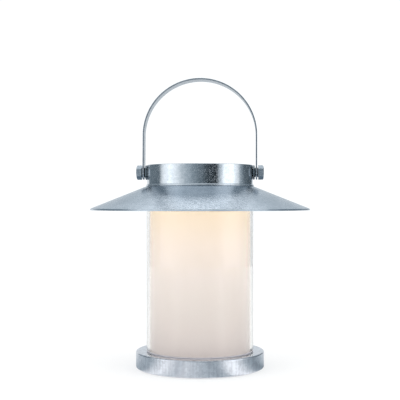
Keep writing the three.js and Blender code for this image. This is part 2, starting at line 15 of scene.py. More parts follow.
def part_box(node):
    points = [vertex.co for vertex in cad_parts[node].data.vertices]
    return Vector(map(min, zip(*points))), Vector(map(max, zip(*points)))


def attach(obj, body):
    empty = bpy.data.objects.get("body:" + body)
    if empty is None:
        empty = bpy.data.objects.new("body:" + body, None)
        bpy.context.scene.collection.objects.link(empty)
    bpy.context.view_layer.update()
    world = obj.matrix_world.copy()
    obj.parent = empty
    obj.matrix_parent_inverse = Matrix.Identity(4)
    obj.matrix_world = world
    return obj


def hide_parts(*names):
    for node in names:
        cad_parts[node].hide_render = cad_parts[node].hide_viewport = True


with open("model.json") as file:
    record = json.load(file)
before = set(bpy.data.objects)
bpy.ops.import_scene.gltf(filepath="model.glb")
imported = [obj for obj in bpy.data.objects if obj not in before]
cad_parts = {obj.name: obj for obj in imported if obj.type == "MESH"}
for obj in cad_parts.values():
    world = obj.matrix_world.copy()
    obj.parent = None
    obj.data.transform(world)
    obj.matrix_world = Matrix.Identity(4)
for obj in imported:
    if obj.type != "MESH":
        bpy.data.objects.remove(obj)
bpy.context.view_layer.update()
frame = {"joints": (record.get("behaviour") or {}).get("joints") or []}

mm = 0.001

# ---- Camera ----

camera_distance = 0.9694
camera_height = 0.174
camera_azimuth = radians(3.3)      # towards +X from the front
camera_lens = 83.7


def facing(azimuth, distance, height):
    """A point at a distance from the axis, at an angle from the front towards +X."""
    return Vector((distance * sin(azimuth), -distance * cos(azimuth), height))


def linked(name, data):
    """A new object in the scene."""
    made = bpy.data.objects.new(name, data)
    bpy.context.scene.collection.objects.link(made)
    return made


def make_camera():
    data = bpy.data.cameras.new("camera")
    data.lens = camera_lens
    camera = linked("camera", data)
    camera.location = facing(camera_azimuth, camera_distance, camera_height)
    camera.rotation_euler = (pi / 2, 0, camera_azimuth)
    bpy.context.scene.camera = camera


# ---- Sizes taken from the frame ----

def round_size(node):
    """Radius, bottom and top of a node that is centred on the lantern's axis."""
    low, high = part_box(node)
    return high.x, low.z, high.z


def measured(node):
    """Lowest corner, highest corner and middle of a node's box."""
    low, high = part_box(node)
    return low, high, (low + high) / 2


def centre_of(node):
    return measured(node)[2]


base_radius, base_bottom, base_top = round_size("base_dish")
plate_radius, plate_bottom, plate_top = round_size("base_floor_plate")
cup_radius, cup_low, cup_rim = round_size("glass_seat_cup")
glass_radius, glass_bottom, glass_top = round_size("glass_cylinder")
liner_radius, liner_bottom, liner_top = round_size("opal_liner")
roof_radius, roof_rim, roof_neck = round_size("roof_cone")
bead_radius, collar_bottom, collar_top = round_size("collar_ring")
carrier_radius, carrier_bottom, carrier_top = round_size("carrier_ring")
seal_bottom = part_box("unit_seal_ring")[0].z
unit_radius, unit_bottom, housing_top = round_size("unit_housing")
bezel_radius, bezel_bottom, bezel_top = round_size("panel_bezel")
cover_radius, cover_bottom, cover_top = round_size("panel_cover")
board_radius, board_bottom = round_size("panel_board")[:2]
lens_radius, lens_bottom, lens_top = round_size("led_lens")

bail_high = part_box("bail_strap")[1]
hinge = next(joint for joint in frame["joints"] if joint["name"] == "bail_hinge")
pivot_height = hinge["pos_m"][2]

# ---- Sizes of the details ----

ring_steps = 192                        # round a large ring
middle_steps = 96
small_steps = 48
three = (1, 2, 3)

base_sheet = 1.2 * mm
base_curl = 2.0 * mm
liner_inner = liner_radius - 0.7 * mm
glass_wall = 3.0 * mm
roof_sheet = 1.0 * mm
roof_flange = 56.3 * mm                 # radius where the cone meets its flat inner flange
roof_hem = 1.4 * mm
roof_hem_width = 2.2 * mm
roof_hem_bevel = 0.8 * mm
collar_sheet = 1.2 * mm
collar_bead = 1.2 * mm
collar_bead_height = 1.8 * mm
bore_radius = 1.6 * mm                  # for the thread of a small screw
bolt_radius = 4.0 * mm
bolt_hole = 4.3 * mm
hex_flats = 13.0 * mm
hex_face = 0.96 * hex_flats / 2         # radius of the round face inside the chamfer
strap_width = 15.0 * mm
strap_thickness = 1.5 * mm
bail_lean = radians(3)
lay_down = Matrix.Rotation(pi / 2, 4, "Y")     # turns +Z to +X


# ---- Mesh helpers ----

def filleted(*corners, steps=4):
    """A closed outline of (radius, height, fillet) corners, each fillet drawn as an arc.

    Only fillets, bevels and the relief of a material are given in millimetres."""
    points = []
    for index, (radius, height, fillet) in enumerate(corners):
        here = Vector((radius, height))
        if fillet == 0:
            points.append(here)
            continue
        fillet *= mm
        before = (Vector(corners[index - 1][:2]) - here).normalized()
        after = (Vector(corners[(index + 1) % len(corners)][:2]) - here).normalized()
        half = before.angle(after) / 2
        centre = here + (before + after).normalized() * fillet / sin(half)
        first = here + before * fillet / tan(half) - centre
        last = here + after * fillet / tan(half) - centre
        turn = -first.angle_signed(last)
        for step in range(steps + 1):
            spoke = first.copy()
            spoke.rotate(Matrix.Rotation(turn * step / steps, 2))
            points.append(centre + spoke)
    return points


def rounded(corners, fillet):
    """An outline of (x, y) corners that all have the same fillet."""
    return filleted(*[(x, y, fillet) for x, y in corners])


def object_from(name, shape):
    """An object from a bmesh, with its doubled points merged and its faces turned outwards."""
    bmesh.ops.remove_doubles(shape, verts=shape.verts, dist=1e-7)
    bmesh.ops.recalc_face_normals(shape, faces=shape.faces)
    mesh = bpy.data.meshes.new(name)
    shape.to_mesh(mesh)
    shape.free()
    return linked(name, mesh)


def revolved(name, outline, steps=ring_steps):
    """A closed outline of (radius, height) points turned about +Z, or a function of the angle."""
    shape = bmesh.new()
    rings = []
    for step in range(steps):
        angle = 2 * pi * step / steps
        points = outline(angle) if callable(outline) else outline
        cosine, sine = cos(angle), sin(angle)
        rings.append([shape.verts.new((r * cosine, r * sine, z)) for r, z in points])
    for step, ring in enumerate(rings):
        after = rings[(step + 1) % steps]
        for index in range(len(ring)):
            following = (index + 1) % len(ring)
            shape.faces.new((ring[index], after[index], after[following], ring[following]))
    return object_from(name, shape)


def raised(name, outline, bottom, top):
    """A flat outline of (x, y) points raised from bottom to top."""
    shape = bmesh.new()
    lower = shape.faces.new([shape.verts.new((x, y, bottom)) for x, y in outline])
    grown = bmesh.ops.extrude_face_region(shape, geom=[lower])["geom"]
    upper = [part for part in grown if isinstance(part, bmesh.types.BMVert)]
    bmesh.ops.translate(shape, verts=upper, vec=(0, 0, top - bottom))
    return object_from(name, shape)


def rectangle(size_x, size_y, x=0, y=0):
    half_x, half_y = size_x / 2, size_y / 2
    return [(x - half_x, y - half_y), (x + half_x, y - half_y),
            (x + half_x, y + half_y), (x - half_x, y + half_y)]


def block(name, node, fillet=0):
    """A box of a node's size, with its upright edges rounded."""
    low, high, middle = measured(node)
    outline = rounded(rectangle(high.x - low.x, high.y - low.y, middle.x, middle.y), fillet)
    return raised(name, outline, low.z, high.z)


def disc_outline(radius, bottom, top, fillet=0):
    return filleted((0, bottom, 0), (radius, bottom, fillet), (radius, top, fillet), (0, top, 0))


def ring_outline(inner, outer, bottom, top, fillet):
    return filleted((inner, bottom, fillet), (outer, bottom, fillet),
                    (outer, top, fillet), (inner, top, fillet))


def thread(first, second, start, end, pitch):
    """Points that swing between two radii up to a height, and where their last turn ends."""
    points = []
    while start + pitch < end:
        points += [(first, start), (second, start + pitch / 2)]
        start += pitch
    return points, start


def moved(made, x, y, z, turn=Matrix()):
    """Turns a piece about the origin and carries it to a place."""
    made.data.transform(Matrix.Translation((x, y, z)) @ turn)
    return made


def disc_of(name, node, fillet, steps=ring_steps):
    """A disc of a node's size."""
    return revolved(name, disc_outline(*round_size(node), fillet), steps)


def ring_of(name, node, inner, fillet):
    """A ring of a node's size, with its hole's radius given."""
    radius, bottom, top = round_size(node)
    return revolved(name, ring_outline(inner, radius, bottom, top, fillet))


def peg(radius, bottom, top, x=0, y=0):
    """A plain cylinder that joins or cuts another piece."""
    return moved(revolved("tool", disc_outline(radius, bottom, top), small_steps), x, y, 0)


def pegs(radius, bottom, top, name, count=3):
    """A peg at the middle of each node of a numbered name."""
    middles = [centre_of(f"{name}_{number}") for number in range(1, count + 1)]
    return [peg(radius, bottom, top, middle.x, middle.y) for middle in middles]


def baked(made):
    """The mesh of an object with all that changes it applied."""
    bpy.context.view_layer.update()
    graph = bpy.context.evaluated_depsgraph_get()
    return bpy.data.meshes.new_from_object(made.evaluated_get(graph))


def combine(made, operation, *tools):
    """Joins tools to a piece or cuts them out of it, and removes the tools."""
    for tool in tools:
        change = made.modifiers.new("combine", "BOOLEAN")
        change.operation = operation
        change.solver = "EXACT"
        change.object = tool
    mesh = baked(made)
    made.modifiers.clear()
    made.data = mesh
    for tool in tools:
        bpy.data.objects.remove(tool)
    return made


def cut(made, *tools):
    return combine(made, "DIFFERENCE", *tools)


def join(made, *tools):
    return combine(made, "UNION", *tools)


def bevelled(made, width, segments=3, angle=40):
    bevel = made.modifiers.new("bevel", "BEVEL")
    bevel.width = width * mm
    bevel.segments = segments
    bevel.limit_method = "ANGLE"
    bevel.angle_limit = radians(angle)
    return made


def shown(made, material, body, *nodes, sharp=38):
    """Shades a finished piece, gives it its material, and lets it stand for its CAD nodes.

    A material is named after its slot, with a dot and a word where several share one."""
    made.data.shade_smooth()
    made.data.set_sharp_from_angle(angle=radians(sharp))
    weighted = made.modifiers.new("normals", "WEIGHTED_NORMAL")
    weighted.keep_sharp = True
    made.data.materials.clear()
    made.data.materials.append(material)
    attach(made, body)
    if nodes:
        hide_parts(*nodes)
    return made


# ---- Material helpers ----

def add_node(tree, kind, inputs=None, **settings):
    """A shader node with its settings, and its inputs either linked or set."""
    node = tree.nodes.new("ShaderNode" + kind)
    for name, value in settings.items():
        setattr(node, name, value)
    for name, value in (inputs or {}).items():
        if isinstance(value, bpy.types.NodeSocket):
            tree.links.new(value, node.inputs[name])
        else:
            node.inputs[name].default_value = value
    return node


def new_material(name, **constants):
    """A material, its tree, its shader with the constants set, and the place on its surface."""
    made = bpy.data.materials.new(name)
    made.use_nodes = True
    tree = made.node_tree
    shader = tree.nodes["Principled BSDF"]
    for key, value in constants.items():
        shader.inputs[key.replace("_", " ").title().replace("Ior", "IOR")].default_value = value
    return made, tree, shader, place_on_surface(tree)


def place_on_surface(tree):
    return add_node(tree, "TexCoord").outputs["Object"]


def noise(vector, scale, detail=3.0, roughness=0.55):
    inputs = {"Vector": vector, "Scale": scale, "Detail": detail, "Roughness": roughness}
    return add_node(vector.id_data, "TexNoise", inputs).outputs["Fac"]


def remapped(value, from_low, from_high, to_low, to_high):
    inputs = {"Value": value, "From Min": from_low, "From Max": from_high,
              "To Min": to_low, "To Max": to_high}
    return add_node(value.id_data, "MapRange", inputs).outputs["Result"]


def maths(operation, first, second):
    inputs = {0: first, 1: second}
    return add_node(first.id_data, "Math", inputs, operation=operation).outputs[0]


def mixed(share, first, second):
    """A mix of two colours. The node has other sockets of the same names, so these go by number."""
    inputs = {0: share, 6: first, 7: second}
    return add_node(share.id_data, "Mix", inputs, data_type="RGBA").outputs[2]


def fill_ramp(ramp, stops):
    """Gives a colour ramp its stops, a colour of three at each position."""
    for index, (position, colour) in enumerate(stops.items()):
        stop = ramp.elements[index] if index < 2 else ramp.elements.new(position)
        stop.position = position
        stop.color = (*colour, 1)


def wired(shader, base_color, roughness, height=None, relief=0):
    """Links the shader's colour and roughness, and a height that stands relief millimetres high."""
    tree = shader.id_data
    tree.links.new(base_color, shader.inputs["Base Color"])
    tree.links.new(roughness, shader.inputs["Roughness"])
    if height:
        bump = add_node(tree, "Bump", {"Height": height, "Distance": relief * mm})
        tree.links.new(bump.outputs["Normal"], shader.inputs["Normal"])


def round_streaks(vector, turns, fineness):
    """Noise drawn out along circles round the lantern's axis, as spinning and brushing leave."""
    tree = vector.id_data
    split = add_node(tree, "SeparateXYZ", {"Vector": vector})
    flat = add_node(tree, "CombineXYZ", {"X": split.outputs["X"], "Y": split.outputs["Y"]})
    length = add_node(tree, "VectorMath", {0: flat.outputs[0]}, operation="LENGTH")
    unit = add_node(tree, "VectorMath", {0: flat.outputs[0]}, operation="NORMALIZE")
    around = add_node(tree, "VectorMath", {0: unit.outputs[0], "Scale": turns}, operation="SCALE")
    across = maths("SUBTRACT", length.outputs["Value"], split.outputs["Z"])
    across = maths("MULTIPLY", across, fineness)
    offset = add_node(tree, "CombineXYZ", {"Z": across})
    place = add_node(tree, "VectorMath", {0: around.outputs[0], 1: offset.outputs[0]},
                     operation="ADD")
    return noise(place.outputs[0], 1.0, detail=4.0, roughness=0.6)


def upright_streaks(vector):
    """Noise drawn out along +Z, as pressing a rim through its die leaves."""
    inputs = {"Vector": vector, "Scale": (420.0, 420.0, 30.0)}
    stretched = add_node(vector.id_data, "Mapping", inputs)
    return noise(stretched.outputs[0], 1.0, detail=3.0)


def galvanised(name, dark, light, smoothest, roughest, relief, spangle, streaks=0.1, facets=0.3,
               upright=0.0, specks=0.0):
    """Zinc-coated sheet: a faceted spangle, circular brushing, upright streaks and a fine grain.

    Specks is how much rougher the grain's peaks are than the rest."""
    made, tree, shader, where = new_material(name, metallic=1.0)
    bend = add_node(tree, "TexNoise", {"Vector": where, "Scale": spangle, "Detail": 2.0})
    reach = 0.8 / spangle               # how far the noise bends the crystals' edges
    warp = add_node(tree, "VectorMath", {0: bend.outputs["Color"], 1: (reach,) * 3, 2: where},
                    operation="MULTIPLY_ADD")
    crystals = add_node(tree, "TexVoronoi", {"Vector": warp.outputs[0], "Scale": spangle})
    crystal = add_node(tree, "SeparateColor", {"Color": crystals.outputs["Color"]})
    streak = round_streaks(where, turns=5.0, fineness=2600.0)
    cloud = noise(where, 34.0, detail=4.0)
    grain = noise(where, 1300.0, detail=5.0)
    share = maths("MULTIPLY", crystal.outputs["Red"], 1 - streaks)
    for texture, swing in ((cloud, 0.3), (grain, 0.15), (streak, streaks / 2)):
        share = maths("ADD", share, remapped(texture, 0.32, 0.68, -swing, swing))
    share = maths("ADD", share, streaks / 2)
    height = maths("ADD", maths("MULTIPLY", streak, streaks), grain)
    facet = maths("MULTIPLY", crystals.outputs["Distance"], facets)
    height = maths("ADD", height, facet)
    if upright:
        upward = upright_streaks(where)
        share = maths("ADD", share, remapped(upward, 0.32, 0.68, -upright, upright))
        height = maths("ADD", height, maths("MULTIPLY", upward, 2 * upright))
    rough = maths("ADD", maths("MULTIPLY", crystal.outputs["Green"], 0.4),
                  maths("MULTIPLY", cloud, 0.6))
    rough = remapped(rough, 0.2, 0.8, smoothest, roughest)
    if specks:
        rough = maths("ADD", rough, remapped(grain, 0.5, 0.64, 0.0, specks))
    wired(shader, mixed(share, dark, light), rough, height, relief)
    return made


def moulded(name, dark, light, roughness, relief, **constants):
    """Moulded plastic or rubber with a fine even texture."""
    made, tree, shader, where = new_material(name, **constants)
    texture = noise(where, 1500.0, detail=2.0)
    cloud = noise(where, 45.0, detail=3.0)
    rough = remapped(texture, 0.3, 0.7, roughness - 0.06, roughness + 0.06)
    wired(shader, mixed(cloud, dark, light), rough, texture, relief)
    return made


def clear(name, colour, ior, roughness, density):
    """Clear glass or plastic with a faint waviness, which darkens where light goes far in it."""
    made, tree, shader, where = new_material(name, base_color=colour, ior=ior,
                                             transmission_weight=1.0)
    wave = noise(where, 60.0, detail=1.0)
    rough = remapped(wave, 0.3, 0.7, roughness, roughness + 0.02)
    tree.links.new(rough, shader.inputs["Roughness"])
    depth = add_node(tree, "VolumeAbsorption", {"Density": density, "Color": (0.5, 0.5, 0.48, 1)})
    tree.links.new(depth.outputs[0], tree.nodes["Material Output"].inputs["Volume"])
    return made


# Painted light: emission for the light passing through the opal sheet, from its foot at 0 to its
# top at 1.
opal_glow = {
    0.0: (0.135, 0.10, 0.10), 0.25: (0.25, 0.21, 0.19), 0.45: (0.34, 0.285, 0.255),
    0.66: (0.50, 0.40, 0.315), 0.84: (0.62, 0.48, 0.31), 1.0: (0.66, 0.49, 0.28),
}


def opal(name):
    """Milk-white sheet with a painted glow, warm near the lamp above it and paler towards its foot.
    """
    made, tree, shader, where = new_material(name, ior=1.45, emission_strength=1.12)
    cloud = noise(where, 22.0, detail=2.0)
    wired(shader, mixed(cloud, (0.82, 0.78, 0.76, 1), (0.86, 0.82, 0.80, 1)),
          remapped(cloud, 0.3, 0.7, 0.42, 0.5))
    height = add_node(tree, "SeparateXYZ", {"Vector": where}).outputs["Z"]
    level = remapped(height, liner_bottom, liner_top, 0.0, 1.0)
    # painted light: emission that grows warmer and brighter up the sheet
    glow = add_node(tree, "ValToRGB", {"Fac": level})
    fill_ramp(glow.color_ramp, opal_glow)
    tree.links.new(glow.outputs["Color"], shader.inputs["Emission Color"])
    return made


def silicon(name):
    """Blue-black cells with fine silver fingers across them."""
    made, tree, shader, where = new_material(name, roughness=0.3, specular_ior_level=0.2)
    split = add_node(tree, "SeparateXYZ", {"Vector": where})
    finger_pitch = 1.6 * mm
    finger_share = 0.06
    finger = (0.16, 0.18, 0.22, 1)
    phase = maths("DIVIDE", split.outputs["Y"], finger_pitch)
    line = maths("LESS_THAN", maths("FRACT", phase, 0.0), finger_share)
    cloud = noise(where, 120.0, detail=4.0)
    body = mixed(cloud, (0.010, 0.018, 0.055, 1), (0.022, 0.036, 0.095, 1))
    tree.links.new(mixed(line, body, finger), shader.inputs["Base Color"])
    return made


# ---- Stage ----

def make_world():
    world = bpy.data.worlds.new("studio")
    bpy.context.scene.world = world
    world.use_nodes = True
    background = world.node_tree.nodes["Background"]
    background.inputs["Color"].default_value = (0.965, 0.985, 1.0, 1)
    background.inputs["Strength"].default_value = 1.08
    world.cycles.sampling_method = "NONE"
    bpy.context.scene.view_settings.view_transform = "Standard"


def make_floor():
    half = 4.0
    shape = bmesh.new()
    corners = [(-half, -half, 0), (half, -half, 0), (half, half, 0), (-half, half, 0)]
    shape.faces.new([shape.verts.new(corner) for corner in corners])
    floor = object_from("floor", shape)
    paper = new_material("floor_paper", base_color=(0.5, 0.5, 0.5, 1), roughness=1.0,
                         specular_ior_level=0.0, emission_color=(1, 1, 1, 1),
                         emission_strength=0.52)[0]
    paper.cycles.emission_sampling = "NONE"
    floor.data.materials.append(paper)


# Brightness of the studio at angles from the camera towards the right: a dark side round the
# camera, a large softbox at each side, dark flags behind those, and the pale backdrop.
wall_levels = {
    -180: 0.82, -166: 0.85, -157: 1.0, -146: 1.0, -139: 0.24, -96: 0.2, -88: 1.05,
    -78: 1.3, -66: 1.6, -52: 1.25, -38: 0.8, -25: 0.54, -12: 0.33, 2: 0.2,
    16: 0.06, 35: 0.03, 43: 0.7, 53: 1.6, 72: 1.7, 86: 1.1, 98: 0.38, 110: 0.16,
    134: 0.12, 148: 0.12, 155: 0.85, 166: 0.85, 180: 0.82,
}
# The same above the lantern, where the backdrop falls off, and higher still, where it comes
# forward over the lantern as a bright ceiling.
middle_levels = {
    -180: 0.7, -150: 0.68, -125: 0.3, -97: 0.3, -80: 1.0, -60: 1.1, -38: 0.75,
    0: 0.45, 30: 0.35, 48: 0.9, 75: 1.1, 97: 0.35, 125: 0.28, 150: 0.68, 180: 0.7,
}
upper_levels = {
    -180: 1.85, -150: 1.5, -125: 0.35, -97: 0.35, -80: 1.2, -60: 1.2, -38: 1.0,
    0: 1.05, 30: 0.85, 48: 1.05, 75: 1.2, 97: 0.4, 125: 0.35, 150: 1.5, 180: 1.85,
}
# The same round the ground, which throws more light back into the dark side.
ground_levels = {
    -180: 0.85, -150: 0.66, -124: 0.52, -104: 0.5, -84: 0.9, -67: 1.22, -52: 0.9,
    -39: 0.76, -26: 0.92, -12: 0.8, 12: 0.62, 26: 0.52, 38: 0.62, 52: 1.1,
    66: 1.35, 80: 0.9, 98: 0.5, 122: 0.36, 150: 0.6, 180: 0.85,
}
# The same round the ceiling, which is brighter above the camera than behind the lantern.
ceiling_levels = {-180: 0.50, -120: 0.50, -60: 0.90, 60: 0.90, 120: 0.50, 180: 0.50}
studio_bands = {0.40: wall_levels, 0.60: middle_levels, 1.20: middle_levels, 1.75: upper_levels}
ground_spread = 1.43                    # how far the ground's levels crowd together at the front
studio_shade = Vector((0.70, 0.92, 1.08))
studio_light = Vector((0.97, 0.985, 1.0))
studio_radius = 1.5
studio_height = 2.4


def levels_ramp(share, levels, brightest):
    """The tinted light of a list of levels, as a part of the brightest level."""
    stops = {}
    for degrees, level in levels.items():
        tint = studio_shade.lerp(studio_light, min(1.0, level))
        stops[(degrees + 180) / 360] = tint * level / brightest
    node = add_node(share.id_data, "ValToRGB", {"Fac": share})
    node.color_ramp.interpolation = "EASE"
    fill_ramp(node.color_ramp, stops)
    return node.outputs["Color"]


def studio_material(name, bands, spread=1.0):
    """Light that varies round the studio as the levels of each band say.

    A band's levels hold at its height; between two bands one turns into the other. The levels
    lie spread times closer together round the front than their angles say."""
    made = bpy.data.materials.new(name)
    made.use_nodes = True
    made.cycles.emission_sampling = "NONE"
    tree = made.node_tree
    tree.nodes.clear()
    split = add_node(tree, "SeparateXYZ", {"Vector": place_on_surface(tree)})
    back = maths("MULTIPLY", split.outputs["Y"], -1.0)
    angle = maths("ARCTAN2", split.outputs["X"], back)
    reach = pi / spread
    share = remapped(angle, camera_azimuth - reach, camera_azimuth + reach, 0.0, 1.0)
    brightest = max(max(levels.values()) for levels in bands.values())
    colour, last_height = None, None
    for height, levels in bands.items():
        band = levels_ramp(share, levels, brightest)
        if colour:
            risen = remapped(split.outputs["Z"], last_height, height, 0.0, 1.0)
            band = mixed(risen, colour, band)
        colour, last_height = band, height
    light = add_node(tree, "Emission", {"Color": colour, "Strength": brightest})
    output = add_node(tree, "OutputMaterial")
    tree.links.new(light.outputs[0], output.inputs["Surface"])
    return made


def make_studio(name, inner, outer, bottom, top, material):
    """A wall or a flat ring round the lantern that stands for the studio in its reflections."""
    shape = bmesh.new()
    columns = []
    for step in range(middle_steps):
        angle = 2 * pi * step / middle_steps
        columns.append((shape.verts.new(facing(angle, inner, bottom)),
                        shape.verts.new(facing(angle, outer, top))))
    for (first, second), (first_after, second_after) in zip(columns, columns[1:] + columns[:1]):
        shape.faces.new((first, first_after, second_after, second))
    ring = object_from(name, shape)
    ring.data.materials.append(material)
    for ray in ("camera", "diffuse", "transmission", "shadow"):
        setattr(ring, f"visible_{ray}", False)


def make_key_light(name, azimuth, distance=1.6, height=1.1):
    """A soft lamp at an angle in degrees from the camera, which aims at the lantern's middle."""
    data = bpy.data.lights.new(name, "AREA")
    data.size = 1.2
    data.energy = 6.0
    light = linked(name, data)
    light.location = facing(radians(azimuth) + camera_azimuth, distance, height)
    aim = Vector((0, 0, pivot_height / 2)) - light.location
    light.rotation_euler = aim.to_track_quat("-Z", "Y").to_euler()
    light.visible_camera = False
    light.visible_glossy = False


def make_stage():
    make_world()
    make_floor()
    make_key_light("left_light", -60)
    make_key_light("right_light", 60)
    wall = studio_material("studio_wall", studio_bands)
    ground = studio_material("studio_ground", {0.0: ground_levels}, ground_spread)
    ceiling = studio_material("studio_ceiling", {studio_height: ceiling_levels})
    lift = 0.2 * mm                     # keeps the ring off the floor
    hole = 1 * mm                       # all that the ceiling leaves open
    make_studio("studio_wall", studio_radius, studio_radius, 0.0, studio_height, wall)
    make_studio("studio_ground", base_radius, studio_radius, lift, lift, ground)
    make_studio("studio_ceiling", hole, studio_radius, studio_height, studio_height, ceiling)


# ---- Materials ----

roof_zinc = galvanised(
    "galvanised_steel.roof", (0.40, 0.47, 0.54, 1), (0.60, 0.67, 0.74, 1), 0.18, 0.30, relief=0.02,
    spangle=420.0, streaks=0.7)
collar_zinc = galvanised(
    "galvanised_steel.collar", (0.54, 0.60, 0.65, 1), (0.70, 0.75, 0.80, 1), 0.04, 0.16,
    relief=0.02, spangle=450.0, streaks=0.3, facets=0.7, specks=0.25)
base_zinc = galvanised(
    "galvanised_steel.base", (0.60, 0.62, 0.67, 1), (0.74, 0.77, 0.82, 1), 0.16, 0.26, relief=0.025,
    spangle=380.0, streaks=0.3, upright=0.45)
bail_zinc = galvanised(
    "galvanised_steel.bail", (0.36, 0.40, 0.44, 1), (0.52, 0.56, 0.60, 1), 0.18, 0.30, relief=0.02,
    spangle=500.0)
bolt_zinc = galvanised(
    "zinc_fasteners.bolt", (0.40, 0.46, 0.51, 1), (0.58, 0.64, 0.70, 1), 0.22, 0.34, relief=0.015,
    spangle=900.0)
# Painted shade: a darker copy of the fastener zinc for the spacer nut, which sits in shadow by the
# collar.
shaded_nut_zinc = galvanised(
    "zinc_fasteners.shaded_nut", (0.16, 0.20, 0.23, 1), (0.28, 0.33, 0.37, 1), 0.30, 0.42, relief=0.015,
    spangle=900.0)
nickel = galvanised(
    "nickel_contact", (0.52, 0.50, 0.46, 1), (0.68, 0.66, 0.61, 1), 0.18, 0.28, relief=0.01,
    spangle=900.0)
clear_glass = clear("clear_glass", (0.97, 0.96, 0.94, 1), 1.46, 0.0, 12.0)
clear_plastic = clear("clear_cover", (0.97, 0.98, 1.0, 1), 1.49, 0.02, 4.0)
opal_sheet = opal("opal_plastic")
black_rubber = moulded("black_rubber", (0.012, 0.012, 0.013, 1), (0.03, 0.03, 0.032, 1), 0.78, 0.03)
pale_silicone = moulded("pale_silicone", (0.70, 0.67, 0.70, 1), (0.80, 0.77, 0.80, 1), 0.45, 0.01)
dark_plastic = moulded(
    "dark_plastic", (0.018, 0.019, 0.021, 1), (0.034, 0.036, 0.039, 1), 0.45, 0.02)
nylon = moulded("nylon_washer", (0.010, 0.022, 0.028, 1), (0.02, 0.04, 0.05, 1), 0.4, 0.01)
white_plastic = moulded("white_plastic", (0.74, 0.73, 0.70, 1), (0.82, 0.81, 0.78, 1), 0.42, 0.02)
frosted = moulded(
    "frosted_lens", (0.86, 0.80, 0.70, 1), (0.93, 0.87, 0.78, 1), 0.5, 0.03,
    emission_color=(1.0, 0.78, 0.5, 1), emission_strength=0.9)
board_white = moulded("white_board", (0.72, 0.72, 0.71, 1), (0.8, 0.8, 0.78, 1), 0.5, 0.01)
board_green = moulded("green_board", (0.01, 0.09, 0.04, 1), (0.02, 0.14, 0.06, 1), 0.35, 0.02)
phosphor = moulded(
    "led_phosphor", (0.80, 0.52, 0.10, 1), (0.9, 0.62, 0.16, 1), 0.5, 0.01,
    emission_color=(1.0, 0.75, 0.42, 1), emission_strength=2.0)
sleeve = moulded("cell_sleeve", (0.04, 0.2, 0.11, 1), (0.06, 0.26, 0.15, 1), 0.3, 0.01)
red_cover = moulded("red_lead", (0.42, 0.03, 0.02, 1), (0.5, 0.05, 0.04, 1), 0.5, 0.01)
black_cover = moulded("black_lead", (0.015, 0.015, 0.015, 1), (0.03, 0.03, 0.03, 1), 0.5, 0.01)
silicon_cell = silicon("solar_cell")


# ---- Base ----

def make_base_shell():
    inner = base_radius - base_sheet
    under = base_top - base_sheet
    lip = base_radius - base_curl - 1.0 * mm
    outline = filleted(
        (0, under, 0), (inner, under, 0.6),
        (inner, base_bottom + base_sheet, (base_curl - base_sheet) / mm),
        (lip, base_bottom + base_sheet, 0.5), (lip, base_bottom, 0.5),
        (base_radius, base_bottom, base_curl / mm), (base_radius, base_top, 1.6), (0, base_top, 0),
        steps=8,
    )
    shell = revolved("base_shell", outline)
    holes = pegs(3.7 * mm, under - mm, base_top + mm, "floor_screw")
    shown(cut(shell, *holes), base_zinc, "lantern", "base_dish")


def make_floor_plate():
    thickness = plate_top - plate_bottom
    rib = 0.8 * mm
    steps = [(0, 0), (34.5 * mm, 0), (36 * mm, rib), (43 * mm, rib), (44.5 * mm, 0),
             (plate_radius, 0)]
    lower = [(radius, plate_bottom + rise) for radius, rise in steps]
    upper = [(radius, height + thickness) for radius, height in reversed(lower)]
    fillets = [0, 1.0, 0.8, 0.8, 1.0, 0.3]
    corners = [(*point, fillet) for point, fillet in zip(lower + upper, fillets + fillets[::-1])]
    plate = revolved("floor_plate_sheet", filleted(*corners))
    below, above = plate_bottom - mm, plate_top + mm
    screw_holes = pegs(1.8 * mm, below, above, "floor_screw")
    foot_holes = pegs(2.9 * mm, below, above, "rubber_foot")
    shown(cut(plate, *screw_holes, *foot_holes), base_zinc, "lantern", "base_floor_plate")


def make_foot(number):
    node = f"rubber_foot_{number}"
    low, high, middle = measured(node)
    radius = (high.x - low.x) / 2
    flange = plate_bottom - 0.1 * mm
    plug = plate_top + 0.1 * mm
    outline = filleted(
        (0, 0.5 * mm, 0), (2.2 * mm, 0.5 * mm, 0.2), (2.8 * mm, 0, 0.2), (radius, 0, 0.6),
        (radius, flange, 0.4), (2.8 * mm, flange, 0.1), (2.8 * mm, plug, 0.1),
        (3.6 * mm, plug, 0.2), (3.6 * mm, plug + 0.6 * mm, 0.2), (2.2 * mm, plug + 2 * mm, 0.4),
        (0, plug + 2 * mm, 0),
    )
    foot = revolved(f"foot_{number}", outline, small_steps)
    moved(foot, middle.x, middle.y, 0)
    shown(foot, black_rubber, "lantern", node)


def make_screw(name, node, body, flip=False):
    """A pan-head screw with a cross recess. Its head is at the bottom unless it is flipped."""
    low, high, middle = measured(node)
    head_radius = (high.x - low.x) / 2
    head_height = 1.6 * mm
    core = 1.2 * mm
    point = 1.5 * mm
    length = high.z - low.z
    pitch = 0.8 * mm
    turns, tip = thread(core, 1.5 * mm, head_height + 0.2 * mm, length - point, pitch)
    outline = filleted(
        (0, 0, 0), (head_radius, 0, 0.9), (head_radius, head_height, 0.2),
        (core, head_height, 0.1),
        *[(*turn, 0) for turn in turns],
        (core, tip, 0), (0, length, 0),
    )
    screw = revolved(name, outline, small_steps)
    slot_width = 0.7 * mm
    slot_length = head_radius * 1.3
    slot_depth = 0.9 * mm
    slots = [raised("tool", rectangle(slot_length, slot_width), -mm, slot_depth),
             raised("tool", rectangle(slot_width, slot_length), -mm, slot_depth - 0.02 * mm)]
    cut(screw, *slots)
    if flip:
        moved(screw, 0, 0, length, Matrix.Rotation(pi, 4, "X"))
    moved(screw, middle.x, middle.y, low.z)
    shown(screw, bolt_zinc, body, node, sharp=30)


